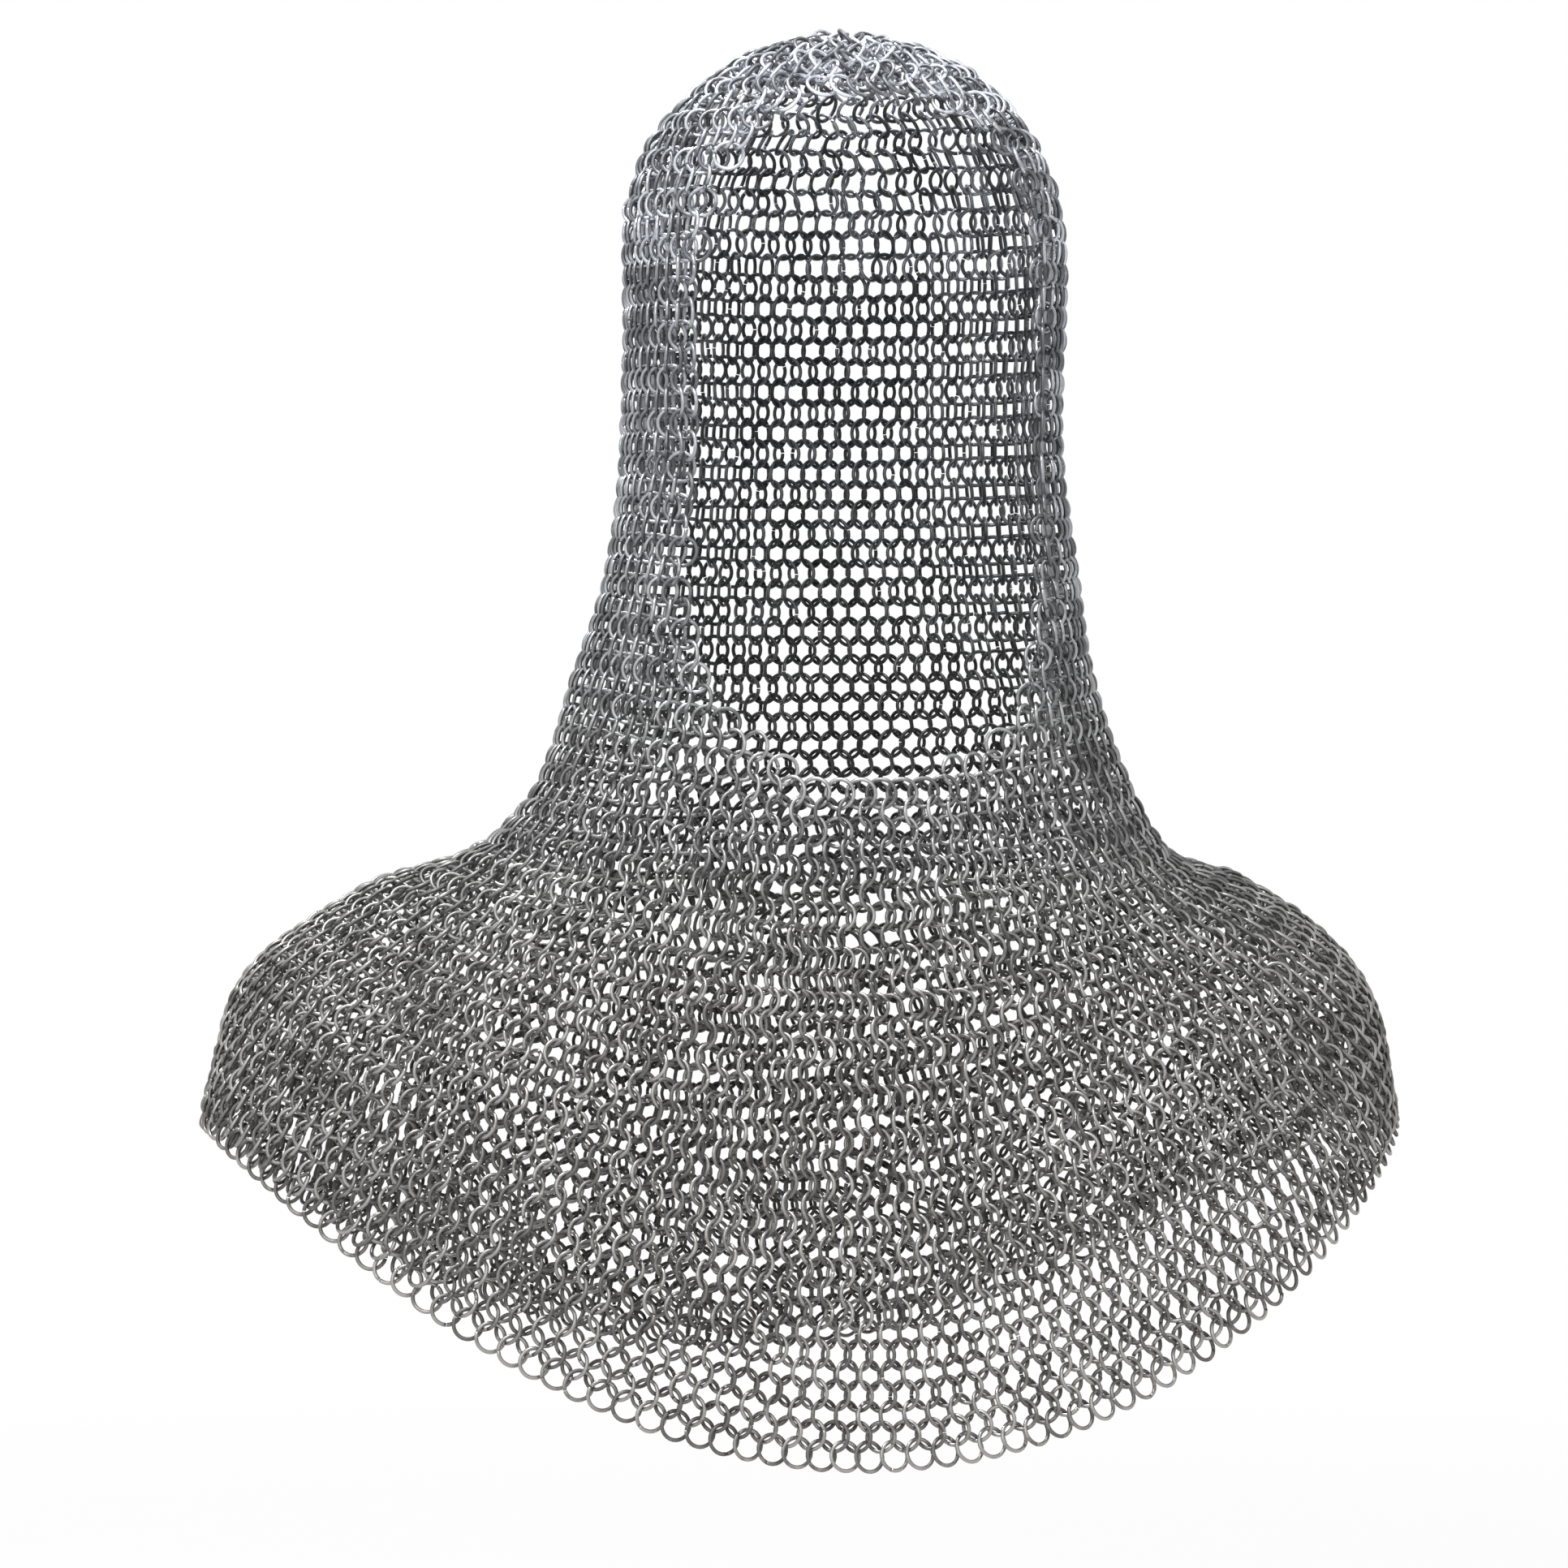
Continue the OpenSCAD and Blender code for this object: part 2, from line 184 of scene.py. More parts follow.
# Rings stand as close along their row as the wires between them allow, so the closer the
# rings, the more they lean. The first rounds lean more, to find room in the centre ring.
WIRES_BETWEEN = 4.95e-3
MOST_LEAN_SINE = 0.72
spacing = []
for t, row in enumerate(rows, 1):
    at = drape(t, row)
    spacing.append(np.linalg.norm(np.roll(at, -1, 0) - np.roll(at, 1, 0), axis=1) / 2)
ring_lean = np.arcsin(np.minimum(WIRES_BETWEEN / np.concatenate(spacing), MOST_LEAN_SINE))
for t, lean in enumerate(CROWN_LEAN, 1):
    ring_lean = np.where(ring_t == t, math.radians(lean), ring_lean)

# Face opening: how far round the head it reaches at each row, and widened by a distance
BROW_ROW, FACE_ROW, FOOT_ROW = 7.4, 23, CHIN_ROW + 0.6
FACE_HALF = 56
BROW_ROUND, CHIN_ROUND = 3, 2.2
EDGE_W = 0.018
ROW_DROP = 0.0088


def in_face(t, q, wider):
    above = t < FACE_ROW
    rows_half = np.where(above, FACE_ROW - BROW_ROW, FOOT_ROW - FACE_ROW) + wider / ROW_DROP
    power = np.where(above, BROW_ROUND, CHIN_ROUND)
    u = np.minimum(np.abs(t - FACE_ROW) / rows_half, 1)
    half = (FACE_HALF + math.degrees(wider / (HOOD_W / 2))) * (1 - u ** power) ** (1 / power)
    return np.abs(q - 360 * np.round(q / 360)) < half


kept = ~in_face(ring_t, ring_q, 0)
ring_t, ring_q, ring_lean = ring_t[kept], ring_q[kept], ring_lean[kept]
SIDE_ROW, JAW_ROW = DOME_ROWS + 1, CHIN_ROW - 7
EDGE_GAP = 0.0003
BROW_EDGE = BROW_ROW + (RING_R + WIRE / 2) / ROW_DROP
CLOSED_ROW = FOOT_ROW + (EDGE_W + RING_R + WIRE / 2 + EDGE_GAP) / ROW_DROP
at_edge = in_face(ring_t, ring_q, EDGE_W) & (ring_t >= SIDE_ROW) & (ring_t <= CLOSED_ROW + 1)

# Rings with a free side, next to the opening or in the last row, lean a little less
FREE_LEAN = 0.45
free = np.zeros(len(ring_t))
for dt, dq in ((-1, -3), (-1, 3), (1, -3), (1, 3), (0, -5), (0, 5)):
    free = np.maximum(free, in_face(ring_t + dt, ring_q + dq, 0) * 1.0)
free = np.where(ring_t == LAST_ROW, 1, free)
ring_lean = ring_lean * (1 - FREE_LEAN * free) * np.where(ring_t % 2 == 0, 1, -1)

# Waves of the mail's own slack: height, radians per row, waves round the body and start.
# The first rows lie close on the head and have none, and the hood's are lower.
SLACK_WAVES = ((0.0011, 0.52, 3, 0.7), (0.0009, 0.44, -5, 2.1), (0.0007, 0.30, 8, 4.0))
SLACK_FROM, SLACK_OVER, LEAST_SLACK = 20, 25, 0.35
CALM_ROWS = 12


def hung(t, q):
    """Places on the mail as it hangs, with the shallow waves that its own slack gives it."""
    a = np.radians(q)
    full = np.clip((t - SLACK_FROM) / SLACK_OVER, LEAST_SLACK, 1)
    wave = sum(high * np.sin(per_row * t + around * a + start)
               for high, per_row, around, start in SLACK_WAVES)
    return drape(t, q) + lie(t, q)[2] * (wave * full * np.clip(t / CALM_ROWS, 0, 1))[..., None]


# No ring hangs quite where the rule puts it
STRAY_ROWS, STRAY_ALONG = 0.028, 0.00045
a = np.radians(ring_q)
calm = np.clip(ring_t / CALM_ROWS, 0, 1)
hang_t = ring_t + STRAY_ROWS * np.sin(0.83 * ring_t + 6 * a + 1.0) * calm
per_degree = np.linalg.norm(drape(ring_t, ring_q + 1) - drape(ring_t, ring_q), axis=1)
hang_q = ring_q + STRAY_ALONG / per_degree * (np.sin(1.1 * ring_t + 13 * a + 3.0)
                                              + 0.6 * np.sin(0.6 * ring_t - 21 * a))
along, ring_down, ring_out = lie(hang_t, hang_q, hung)
ring_mid = hung(hang_t, hang_q)

# Where the rows crowd together, over the shoulders and arms, the lower side of each ring
# lies out on the row below, as scales do
TIP_RATE, MOST_TIP, TIP_OVER = 40, 15, 6
LOOSE = math.radians(2.2)
crowding = 1 - np.linalg.norm(drape(ring_t + 0.5, ring_q) - drape(ring_t - 0.5, ring_q),
                              axis=1) / ROW_DROP
tip = (np.radians(np.clip(TIP_RATE * crowding, 0, MOST_TIP))
       * np.clip((ring_t - CALM_ROWS) / TIP_OVER, 0, 1))
rng = np.random.default_rng(7)
loose = rng.normal(0, LOOSE, (3, len(ring_t)))
ring_lean = ring_lean + loose[0]
ring_across = along * np.cos(ring_lean)[:, None] + ring_out * np.sin(ring_lean)[:, None]
facing = np.cross(ring_across, ring_down)
ring_down = unit(ring_down + facing * (loose[1] - np.tan(tip))[:, None]
                 + ring_across * loose[2][:, None])
ring_across = unit(ring_across
                   - ring_down * np.sum(ring_across * ring_down, 1, keepdims=True))

# The mail settles: where the wires of two rings would share a place, both shift and turn
# until they only bear on each other, as loose rings do by themselves
NEAR = 0.0138
TOUCH = WIRE * 1.03
SETTLE_ROUNDS, STEPS_ROUND, SAME_PLACE = 70, 40, 6
YIELD, HOLD_ALONG, HOLD_OUT = 0.9, 0.005, 0.03
order = np.argsort(ring_mid[:, 2], kind="stable")
height = ring_mid[order, 2]
last_near = np.searchsorted(height, height + NEAR)
pairs = []
for i in range(len(order)):
    near = order[i + 1:last_near[i]]
    near = near[np.sum((ring_mid[near] - ring_mid[order[i]]) ** 2, 1) < NEAR ** 2]
    pairs.append(np.stack([np.full(len(near), order[i]), near], 1))
one, other = np.concatenate(pairs).T
pair = np.arange(len(one))
turn = np.arange(STEPS_ROUND) * 2 * math.pi / STEPS_ROUND
home = ring_mid.copy()
for _ in range(SETTLE_ROUNDS):
    facing = np.cross(ring_across, ring_down)
    arm = RING_R * (ring_across[one][:, None] * np.cos(turn)[None, :, None]
                    + ring_down[one][:, None] * np.sin(turn)[None, :, None])
    reach = arm + (ring_mid[one] - ring_mid[other])[:, None]
    lift = np.einsum("ijk,ik->ij", reach, facing[other])
    flat = reach - lift[..., None] * facing[other][:, None]
    far = np.linalg.norm(flat, axis=-1)
    apart = np.sqrt(lift ** 2 + (far - RING_R) ** 2)
    shift, spin = np.zeros((2, len(ring_mid), 3))
    touches = np.zeros(len(ring_mid))
    nearest = apart.argmin(1)
    # Two linked rings can bear on each other at two places, so the second is found too
    for _ in range(2):
        hit = apart[pair, nearest] < TOUCH
        i, k, lower, upper = pair[hit], nearest[hit], one[hit], other[hit]
        upper_arm = flat[i, k] / far[i, k][:, None] * RING_R
        push = reach[i, k] - upper_arm
        push = push / np.linalg.norm(push, axis=1, keepdims=True)
        push = push * ((TOUCH - apart[i, k]) / 2)[:, None]
        np.add.at(shift, lower, push)
        np.add.at(shift, upper, -push)
        np.add.at(spin, lower, np.cross(arm[i, k], push))
        np.add.at(spin, upper, np.cross(upper_arm, -push))
        np.add.at(touches, lower, 1)
        np.add.at(touches, upper, 1)
        beside = (nearest[:, None] + np.arange(-SAME_PLACE, SAME_PLACE + 1)[None]) % STEPS_ROUND
        apart[pair[:, None], beside] = 1
        nearest = apart.argmin(1)
    ease = YIELD / np.maximum(touches, 1)[:, None]
    ring_mid = ring_mid + shift * ease
    back = home - ring_mid
    back_out = ring_out * np.sum(back * ring_out, 1, keepdims=True)
    ring_mid = ring_mid + HOLD_ALONG * (back - back_out) + HOLD_OUT * back_out
    spin = spin * ease / RING_R ** 2
    ring_across = unit(ring_across + np.cross(spin, ring_across))
    ring_down = ring_down + np.cross(spin, ring_down)
    ring_down = unit(ring_down
                     - ring_across * np.sum(ring_across * ring_down, 1, keepdims=True))

# The middle ring lies flat on top of the head
ring_t, ring_q = np.append(ring_t, 0), np.append(ring_q, 0)
at_edge = np.append(at_edge, False)
ring_across = np.append(ring_across, [[1, 0, 0]], 0)
ring_down = np.append(ring_down, [[0, 1, 0]], 0)
ring_out = np.append(ring_out, [[0, 0, 1]], 0)
ring_mid = np.append(ring_mid, [[0, 0, RING_RISE]], 0)

# One ring: 26 steps along the wire and 8 round it, open by a hair at the butt
ALONG, ROUND = 26, 8
BUTT = 0.00035
SPRUNG, OVAL, BUTT_STEP = 0.006, 0.010, 0.00022
BEAR_SPREAD = 0.16
wire_turn = BUTT / RING_R / 2 + np.arange(ALONG + 1) / ALONG * (2 * math.pi - BUTT / RING_R)
wire_side = np.arange(ROUND) * 2 * math.pi / ROUND
step_of, side_of = np.divmod(np.arange(ALONG * ROUND), ROUND)
tube = np.stack([step_of * ROUND + side_of, (step_of + 1) * ROUND + side_of,
                 (step_of + 1) * ROUND + (side_of + 1) % ROUND,
                 step_of * ROUND + (side_of + 1) % ROUND], 1)
end = np.array([[0, 1, 2, 3], [0, 3, 4, 7], [4, 5, 6, 7]])
ring_faces = np.concatenate([tube, end, end[:, ::-1] + ALONG * ROUND])


def wire_rings(name, chosen):
    """Mesh of the chosen rings, each closed at another place and sprung a little."""
    centre, x, y = ring_mid[chosen], ring_across[chosen], ring_down[chosen]
    away = ring_out[chosen]
    z = np.cross(x, y)
    n = len(centre)
    turn = wire_turn[None, :] + rng.uniform(0, 2 * math.pi, n)[:, None]
    radius = RING_R * (1 + rng.normal(0, SPRUNG, n))
    oval = 1 + rng.normal(0, OVAL, n)
    offset = rng.normal(0, BUTT_STEP, n)[:, None] * (np.arange(ALONG + 1) / ALONG - 0.5)
    ring_x = radius[:, None] * oval[:, None] * np.cos(turn)
    ring_y = radius[:, None] / oval[:, None] * np.sin(turn)
    outward = (x[:, None] * np.cos(turn)[..., None] + y[:, None] * np.sin(turn)[..., None])
    middle = (centre[:, None] + x[:, None] * ring_x[..., None] + y[:, None] * ring_y[..., None]
              + z[:, None] * offset[..., None])
    points = (middle[:, :, None]
              + outward[:, :, None] * (WIRE / 2 * np.cos(wire_side))[None, None, :, None]
              + z[:, None, None] * (WIRE / 2 * np.sin(wire_side))[None, None, :, None])
    count = (ALONG + 1) * ROUND
    faces = ring_faces[None] + (np.arange(n) * count)[:, None, None]
    mesh = bpy.data.meshes.new(name)
    mesh.vertices.add(n * count)
    mesh.vertices.foreach_set("co", points.astype(np.float32).ravel())
    mesh.loops.add(faces.size)
    mesh.loops.foreach_set("vertex_index", faces.astype(np.int32).ravel())
    mesh.polygons.add(faces.size // 4)
    mesh.polygons.foreach_set("loop_start", np.arange(0, faces.size, 4, dtype=np.int32))
    smooth = np.ones(len(ring_faces), bool)
    smooth[-2 * len(end):] = False
    mesh.polygons.foreach_set("use_smooth", np.tile(smooth, n))
    mesh.update(calc_edges=True)
    # Marks: tone of the ring, rub where rings bear on each other and inner side of the wire, all
    # marks of use; and painted shade on the side that faces into the coif, to darken its inside
    tone = rng.uniform(0, 1, n)[:, None, None] + np.zeros((1, ALONG + 1, ROUND))
    bear = np.exp(-((np.abs(np.sin(turn)) - 1) / BEAR_SPREAD) ** 2)[..., None]
    inner = (0.5 - 0.5 * np.cos(wire_side))[None, None, :]
    marks_and_shade = np.ones((n, ALONG + 1, ROUND, 4), np.float32)
    marks_and_shade[..., 0] = tone
    marks_and_shade[..., 1] = bear * inner
    marks_and_shade[..., 2] = inner
    # Painted shade mask: 1 on the wire's side that faces into the coif, 0 on its outer side
    marks_and_shade[..., 3] = 0.5 - 0.5 * (
        np.sum(outward * away[:, None], -1)[..., None] * np.cos(wire_side)
        + np.sum(z * away, -1)[:, None, None] * np.sin(wire_side))
    layer = mesh.attributes.new("wire_marks_and_shade", "FLOAT_COLOR", "POINT")
    layer.data.foreach_set("color", marks_and_shade.ravel())
    piece = bpy.data.objects.new(name, mesh)
    bpy.context.scene.collection.objects.link(piece)
    return piece


def math_node(tree, operation, **fixed):
    """A math node; first, second and third give inputs that nothing is linked to."""
    node = tree.nodes.new("ShaderNodeMath")
    node.operation = operation
    for place, name in enumerate(("first", "second", "third")):
        if name in fixed:
            node.inputs[place].default_value = fixed[name]
    return node


def range_node(tree, **ends):
    node = tree.nodes.new("ShaderNodeMapRange")
    for name, value in ends.items():
        node.inputs[name.replace("_", " ").title()].default_value = value
    return node


def colour_mix(tree, blend="MIX", **fixed):
    node = tree.nodes.new("ShaderNodeMix")
    node.data_type = "RGBA"
    node.blend_type = blend
    for name, value in fixed.items():
        node.inputs[name.title()].default_value = value
    return node


# Oxide and painted light: blotches of dull skin over the bright wire, with each ring its own
# tone; painted shade on the side that faces into the coif; and a painted tint of light that
# turns from a warm reflection at the hem to cool sky light at the crown
oxide_and_light = bpy.data.node_groups.new("wire_oxide_and_light", "ShaderNodeTree")
for name, kind, value in (("Bright", "Color", (0.3, 0.3, 0.31, 1)),
                          ("Dull", "Color", (0.1, 0.1, 0.1, 1)),
                          ("Blotch Scale", "Float", 160.0), ("Tone Spread", "Float", 0.4),
                          ("Inside", "Float", 0.4), ("Smoothest", "Float", 0.34)):
    socket = oxide_and_light.interface.new_socket(name, in_out="INPUT", socket_type=f"NodeSocket{kind}")
    socket.default_value = value
for name, kind in (("Colour", "Color"), ("Roughness", "Float"), ("Height", "Float")):
    oxide_and_light.interface.new_socket(name, in_out="OUTPUT", socket_type=f"NodeSocket{kind}")
into = oxide_and_light.nodes.new("NodeGroupInput")
out = oxide_and_light.nodes.new("NodeGroupOutput")
marks_and_shade = oxide_and_light.nodes.new("ShaderNodeAttribute")
marks_and_shade.attribute_name = "wire_marks_and_shade"
parts = oxide_and_light.nodes.new("ShaderNodeSeparateColor")
place_of = oxide_and_light.nodes.new("ShaderNodeTexCoord")
blotch = oxide_and_light.nodes.new("ShaderNodeTexNoise")
blotch.inputs["Detail"].default_value = 5
blotch.inputs["Roughness"].default_value = 0.62
grain = oxide_and_light.nodes.new("ShaderNodeTexNoise")
grain.inputs["Scale"].default_value = 1900
grain.inputs["Detail"].default_value = 3
tone_centre = math_node(oxide_and_light, "SUBTRACT", second=0.5)
toned = math_node(oxide_and_light, "MULTIPLY_ADD")
dull_mask = range_node(oxide_and_light, from_min=0.36, from_max=0.66)
inner_dark = math_node(oxide_and_light, "MULTIPLY_ADD", second=0.45)
rubbed = math_node(oxide_and_light, "MULTIPLY_ADD", second=-0.75)
rubbed.use_clamp = True
skin_mix = colour_mix(oxide_and_light)
rough = range_node(oxide_and_light, to_max=0.55)
# Painted shade: darkens the wire's side that faces into the coif, down to Inside Shade
inside_shade = range_node(oxide_and_light, from_min=0.42, from_max=0.80, to_min=1.0)
shaded = colour_mix(oxide_and_light, "MULTIPLY", factor=1.0)
level = oxide_and_light.nodes.new("ShaderNodeSeparateXYZ")
crownward = range_node(oxide_and_light, from_min=-0.44, from_max=-0.10)
# Painted light tint: warm painted reflection low on the mail, cool painted sky light towards the
# crown
painted_light_tint = colour_mix(oxide_and_light, a=(1.03, 1.0, 0.955, 1), b=(0.94, 0.985, 1.06, 1))
tinted = colour_mix(oxide_and_light, "MULTIPLY", factor=1.0)
relief_height = math_node(oxide_and_light, "MULTIPLY_ADD", second=0.35)
for source, sink in (
        (marks_and_shade.outputs["Color"], parts.inputs["Color"]),
        (place_of.outputs["Object"], blotch.inputs["Vector"]),
        (into.outputs["Blotch Scale"], blotch.inputs["Scale"]),
        (place_of.outputs["Object"], grain.inputs["Vector"]),
        (parts.outputs["Red"], tone_centre.inputs[0]),
        (tone_centre.outputs[0], toned.inputs[0]),
        (into.outputs["Tone Spread"], toned.inputs[1]),
        (blotch.outputs["Fac"], toned.inputs[2]),
        (toned.outputs[0], dull_mask.inputs["Value"]),
        (parts.outputs["Blue"], inner_dark.inputs[0]),
        (dull_mask.outputs["Result"], inner_dark.inputs[2]),
        (parts.outputs["Green"], rubbed.inputs[0]),
        (inner_dark.outputs[0], rubbed.inputs[2]),
        (rubbed.outputs[0], skin_mix.inputs["Factor"]),
        (into.outputs["Bright"], skin_mix.inputs["A"]),
        (into.outputs["Dull"], skin_mix.inputs["B"]),
        (rubbed.outputs[0], rough.inputs["Value"]),
        (grain.outputs["Fac"], relief_height.inputs[0]),
        (blotch.outputs["Fac"], relief_height.inputs[2]),
        (into.outputs["Smoothest"], rough.inputs["To Min"]),
        (marks_and_shade.outputs["Alpha"], inside_shade.inputs["Value"]),
        (into.outputs["Inside"], inside_shade.inputs["To Max"]),
        (skin_mix.outputs["Result"], shaded.inputs["A"]),
        (inside_shade.outputs["Result"], shaded.inputs["B"]),
        (place_of.outputs["Object"], level.inputs["Vector"]),
        (level.outputs["Z"], crownward.inputs["Value"]),
        (crownward.outputs["Result"], painted_light_tint.inputs["Factor"]),
        (shaded.outputs["Result"], tinted.inputs["A"]),
        (painted_light_tint.outputs["Result"], tinted.inputs["B"]),
        (tinted.outputs["Result"], out.inputs["Colour"]),
        (rough.outputs["Result"], out.inputs["Roughness"]),
        (relief_height.outputs[0], out.inputs["Height"])):
    oxide_and_light.links.new(source, sink)


def wire_steel(name, bright, dull, blotch_scale, tone_spread, bump, inside_shade, smoothest):
    """Finish of a stretch of mail, from the oxide on its wire and painted light. Bright and dull
    are greys, set higher where the stretch is painted as lit from above.
    """
    steel = bpy.data.materials.new(name)
    steel.use_nodes = True
    tree = steel.node_tree
    shader = tree.nodes["Principled BSDF"]
    between = (bright + dull) / 2
    shader.inputs["Base Color"].default_value = (between, between, between, 1)
    shader.inputs["Metallic"].default_value = 0.8
    shader.inputs["Specular IOR Level"].default_value = 0.5
    skin_and_light = tree.nodes.new("ShaderNodeGroup")
    skin_and_light.node_tree = oxide_and_light
    skin_and_light.inputs["Bright"].default_value = (bright, bright, bright, 1)
    skin_and_light.inputs["Dull"].default_value = (dull, dull, dull, 1)
    skin_and_light.inputs["Blotch Scale"].default_value = blotch_scale
    skin_and_light.inputs["Tone Spread"].default_value = tone_spread
    skin_and_light.inputs["Inside"].default_value = inside_shade
    skin_and_light.inputs["Smoothest"].default_value = smoothest
    relief = tree.nodes.new("ShaderNodeBump")
    relief.inputs["Strength"].default_value = bump
    relief.inputs["Distance"].default_value = 0.00008
    tree.links.new(skin_and_light.outputs["Colour"], shader.inputs["Base Color"])
    tree.links.new(skin_and_light.outputs["Roughness"], shader.inputs["Roughness"])
    tree.links.new(skin_and_light.outputs["Height"], relief.inputs["Height"])
    tree.links.new(relief.outputs["Normal"], shader.inputs["Normal"])
    return steel


def hang_rings(name, chosen, steel, node):
    piece = wire_rings(name, chosen)
    piece.data.materials.append(steel)
    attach(piece, "root")
    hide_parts(node)


def stretches(seams):
    """Number and rings of each stretch of rows between two seams."""
    for k, (first, end) in enumerate(zip(seams, seams[1:]), 1):
        yield k, (ring_t >= first) & (ring_t < end)


# Lit and shaded copies of one steel: Bright drops from the crown to the mantle as painted light
# from above, and the crown's near-white Bright paints its highlights
crown_steel_top_lit = wire_steel("crown_steel_top_lit", 0.93, 0.19, blotch_scale=190, tone_spread=0.6, bump=0.5,
                         inside_shade=0.45, smoothest=0.15)
hang_rings("crown_middle_ring", ring_t == 0, crown_steel_top_lit, "crown_centre_ring")
for t in (1, 2):
    hang_rings(f"crown_ring_round_{t}", ring_t == t, crown_steel_top_lit, f"crown_round_{t}")

# Dome
# Rounds that grow from the crown to the full girth of the head, with spare rings let in.
# Over the brow they stop at the face opening, and their last rings hang free.
# Copy of the steel painted as less lit, on the lower dome
dome_steel_upper_lit = wire_steel("dome_steel_upper_lit", 0.66, 0.18, blotch_scale=170, tone_spread=0.55, bump=0.5,
                        inside_shade=0.38, smoothest=0.21)
for k, here in stretches([2.5, 5, BROW_EDGE, 10.5, SIDE_ROW]):
    hang_rings(f"dome_rings_{k}", here, crown_steel_top_lit if k < 3 else dome_steel_upper_lit, f"dome_band_{k}")

# Hood
# Straight rows of one count down the sides and back of the head, open at the face.
# Copy of the steel painted in half light, on the hood
hood_steel_half_lit = wire_steel("hood_steel_half_lit", 0.48, 0.175, blotch_scale=150, tone_spread=0.45, bump=0.5,
                        inside_shade=0.30, smoothest=0.28)
for k, here in stretches([SIDE_ROW, 19, 22.5, 26, 29.5, 32, 35.5, CHIN_ROW]):
    hang_rings(f"hood_rings_{k}", here & ~at_edge, hood_steel_half_lit, f"hood_band_{k}")

# Face and neckline edge
# The outermost rings round the opening. Nothing holds their free side, so they lean less.
beside = at_edge & (ring_t < JAW_ROW)
left_side = np.sin(np.radians(ring_q)) > 0
hang_rings("face_edge_rings_left", beside & left_side, hood_steel_half_lit, "face_edge_left")
hang_rings("face_edge_rings_right", beside & ~left_side, hood_steel_half_lit, "face_edge_right")
hang_rings("face_edge_rings_chin", at_edge & (ring_t >= JAW_ROW), hood_steel_half_lit, "face_edge_chin")

# Neck and shoulders
# Closed rows that take in spare rings as they spread from the neck over the shoulders.
# Darkest copy of the steel, the mantle painted as lying in shade below the lit head
mantle_steel_shaded = wire_steel("mantle_steel_shaded", 0.39, 0.16, blotch_scale=130, tone_spread=0.45,
                          bump=0.55, inside_shade=0.30, smoothest=0.32)
for k, here in stretches([CHIN_ROW, CLOSED_ROW, CHIN_ROW + 7]):
    hang_rings(f"neck_rings_{k}", here & ~at_edge, mantle_steel_shaded, f"neck_band_{k}")
for k, here in stretches([CHIN_ROW + 7, CHIN_ROW + 10.5, CHIN_ROW + 14, CHIN_ROW + 17]):
    hang_rings(f"shoulder_rings_{k}", here, mantle_steel_shaded, f"shoulder_band_{k}")

# Mantle
# The wide skirt of mail over chest, arms and back, hanging from the shoulders.
for k, here in stretches([CHIN_ROW + 17, CHIN_ROW + 20, CHIN_ROW + 23, CHIN_ROW + 26]):
    hang_rings(f"mantle_rings_{k}", here, mantle_steel_shaded, f"mantle_band_{k}")
lowest = (ring_t >= CHIN_ROW + 26) & (ring_t <= LAST_ROW - HEM_ROWS)
hang_rings("mantle_rings_4_left", lowest & left_side, mantle_steel_shaded, "mantle_band_4")
hang_rings("mantle_rings_4_right", lowest & ~left_side, mantle_steel_shaded, "mantle_band_4")

# Hem
# The last three rows. The rings of the lowest hang free and scallop the edge all round.
for k in range(1, HEM_ROWS + 1):
    hang_rings(f"hem_rings_{k}", ring_t == LAST_ROW - HEM_ROWS + k, mantle_steel_shaded, f"hem_row_{k}")


# Studio
# Plain pale floor and light, and the camera a little to the wearer's right of the face.
# Seen by the eye, in a reflection or through a gap, the ground is plain white.
def white_to_the_eye(tree, plain, white, target):
    """Mixes white over the plain shader for camera, glossy and transmission rays."""
    path = tree.nodes.new("ShaderNodeLightPath")
    direct = math_node(tree, "MAXIMUM")
    seen = math_node(tree, "MAXIMUM")
    blend = tree.nodes.new("ShaderNodeMixShader")
    tree.links.new(path.outputs["Is Camera Ray"], direct.inputs[0])
    tree.links.new(path.outputs["Is Glossy Ray"], direct.inputs[1])
    tree.links.new(direct.outputs[0], seen.inputs[0])
    tree.links.new(path.outputs["Is Transmission Ray"], seen.inputs[1])
    tree.links.new(seen.outputs[0], blend.inputs[0])
    tree.links.new(plain, blend.inputs[1])
    tree.links.new(white, blend.inputs[2])
    tree.links.new(blend.outputs[0], target)
    return seen, blend


FLOOR_Z, FLOOR_HALF = -0.75, 9
PAPER = 0.93
# Distance over which the floor turns from the paper's own shade to plain white
FADE_FROM, FADE_TO, NEAR_SHARE = 0.5, 1.8, 0.72
floor_mesh = bpy.data.meshes.new("floor")
floor_mesh.from_pydata([(x * FLOOR_HALF, y * FLOOR_HALF, FLOOR_Z)
                        for x, y in ((-1, -1), (1, -1), (1, 1), (-1, 1))], [], [(0, 1, 2, 3)])
floor = bpy.data.objects.new("floor", floor_mesh)
bpy.context.scene.collection.objects.link(floor)
paper = bpy.data.materials.new("pale_paper")
paper.use_nodes = True
tree = paper.node_tree
matt = tree.nodes["Principled BSDF"]
matt.inputs["Base Color"].default_value = (PAPER, PAPER, PAPER, 1)
matt.inputs["Roughness"].default_value = 1
glow = tree.nodes.new("ShaderNodeEmission")
seen, blend = white_to_the_eye(tree, matt.outputs[0], glow.outputs[0],
                               tree.nodes["Material Output"].inputs["Surface"])
spot = tree.nodes.new("ShaderNodeTexCoord")
distance = tree.nodes.new("ShaderNodeVectorMath")
distance.operation = "LENGTH"
fade = range_node(tree, from_min=FADE_FROM, from_max=FADE_TO, to_min=NEAR_SHARE, to_max=1.0)
share = math_node(tree, "MULTIPLY")
tree.links.new(spot.outputs["Object"], distance.inputs[0])
tree.links.new(distance.outputs["Value"], fade.inputs["Value"])
tree.links.new(seen.outputs[0], share.inputs[0])
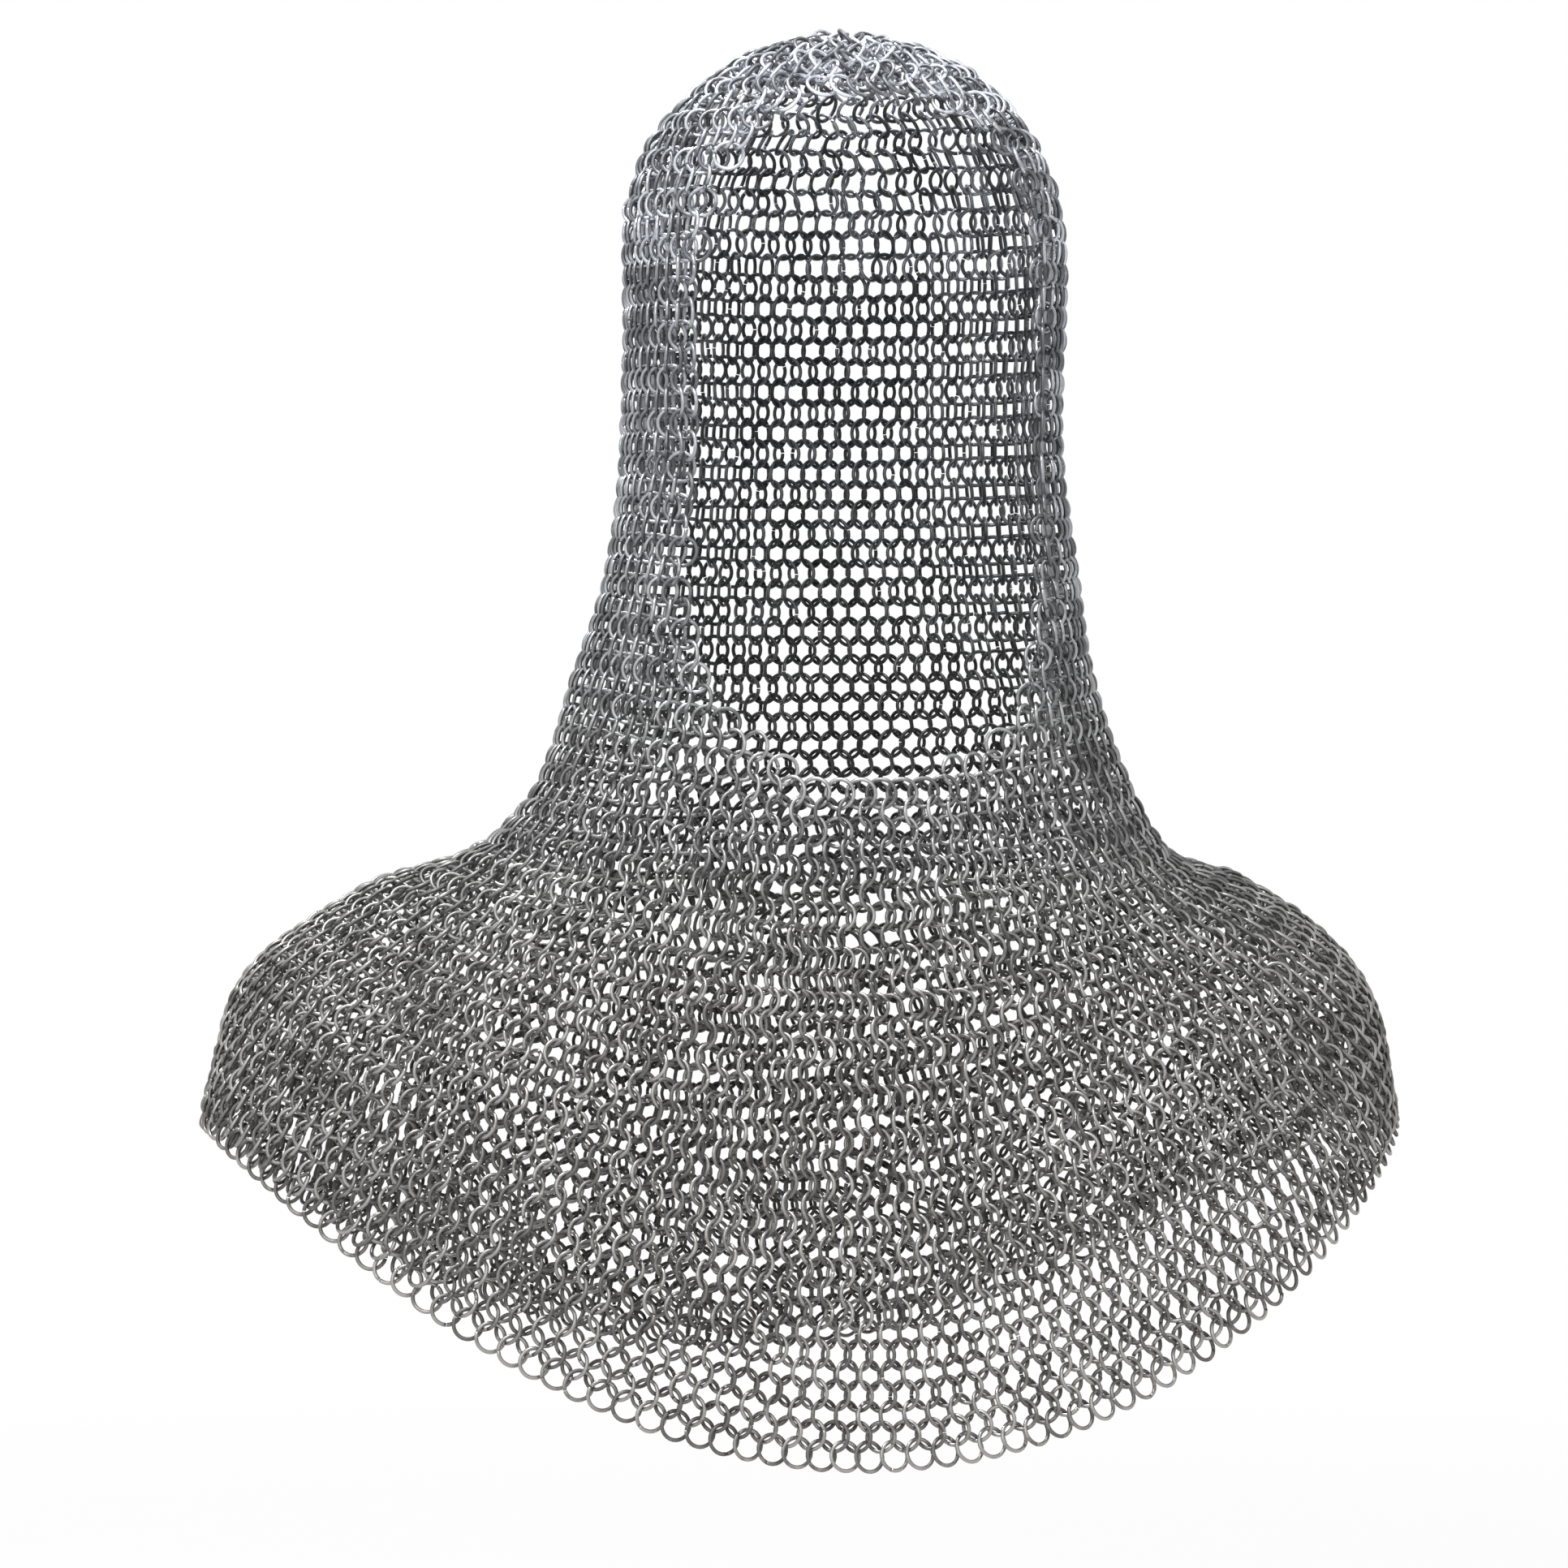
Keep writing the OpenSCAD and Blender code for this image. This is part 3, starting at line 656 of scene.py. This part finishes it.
tree.links.new(fade.outputs["Result"], share.inputs[1])
tree.links.new(share.outputs[0], blend.inputs[0])
floor_mesh.materials.append(paper)

world = bpy.data.worlds.new("studio")
world.use_nodes = True
bpy.context.scene.world = world
tree = world.node_tree
air = tree.nodes["Background"]
air.inputs["Color"].default_value = (1, 1, 1, 1)
air.inputs["Strength"].default_value = 0.5
white = tree.nodes.new("ShaderNodeBackground")
white.inputs["Color"].default_value = (1, 1, 1, 1)
white_to_the_eye(tree, air.outputs[0], white.outputs[0],
                 tree.nodes["World Output"].inputs["Surface"])


def lamp(name, at, to, size, power):
    light = bpy.data.lights.new(name, "AREA")
    light.size = size
    light.energy = power
    body = bpy.data.objects.new(name, light)
    body.location = at
    body.rotation_euler = (Vector(to) - Vector(at)).to_track_quat("-Z", "Y").to_euler()
    bpy.context.scene.collection.objects.link(body)


lamp("sky_panel", (-0.45, -0.2, 1.3), (0, 0, -0.25), size=0.32, power=28)
lamp("front_panel", (-1.3, -2.4, 0.9), (0, 0, -0.3), size=1.6, power=18)

# The photograph is 1932 pixels wide, and each shows a third of a millimetre of the coif
PHOTO_PIXELS, PIXEL = 1932, 0.000333
AZIMUTH, ELEVATION, DISTANCE = math.radians(10.3), math.radians(1.5), 2.6
SENSOR = 36
AIM_Z, AIM_LEFT = -0.300, 0.0246
camera = bpy.data.cameras.new("camera")
camera.sensor_width = SENSOR
camera.lens = SENSOR * DISTANCE / (PHOTO_PIXELS * PIXEL)
eye = bpy.data.objects.new("camera", camera)
look = Vector((math.sin(AZIMUTH) * math.cos(ELEVATION), math.cos(AZIMUTH) * math.cos(ELEVATION),
               -math.sin(ELEVATION)))
across = Vector((math.cos(AZIMUTH), -math.sin(AZIMUTH), 0))
aim = Vector((0, 0, AIM_Z)) - across * AIM_LEFT
eye.location = aim - look * DISTANCE
eye.rotation_euler = look.to_track_quat("-Z", "Y").to_euler()
bpy.context.scene.collection.objects.link(eye)
bpy.context.scene.camera = eye
bpy.context.scene.view_settings.view_transform = "Standard"
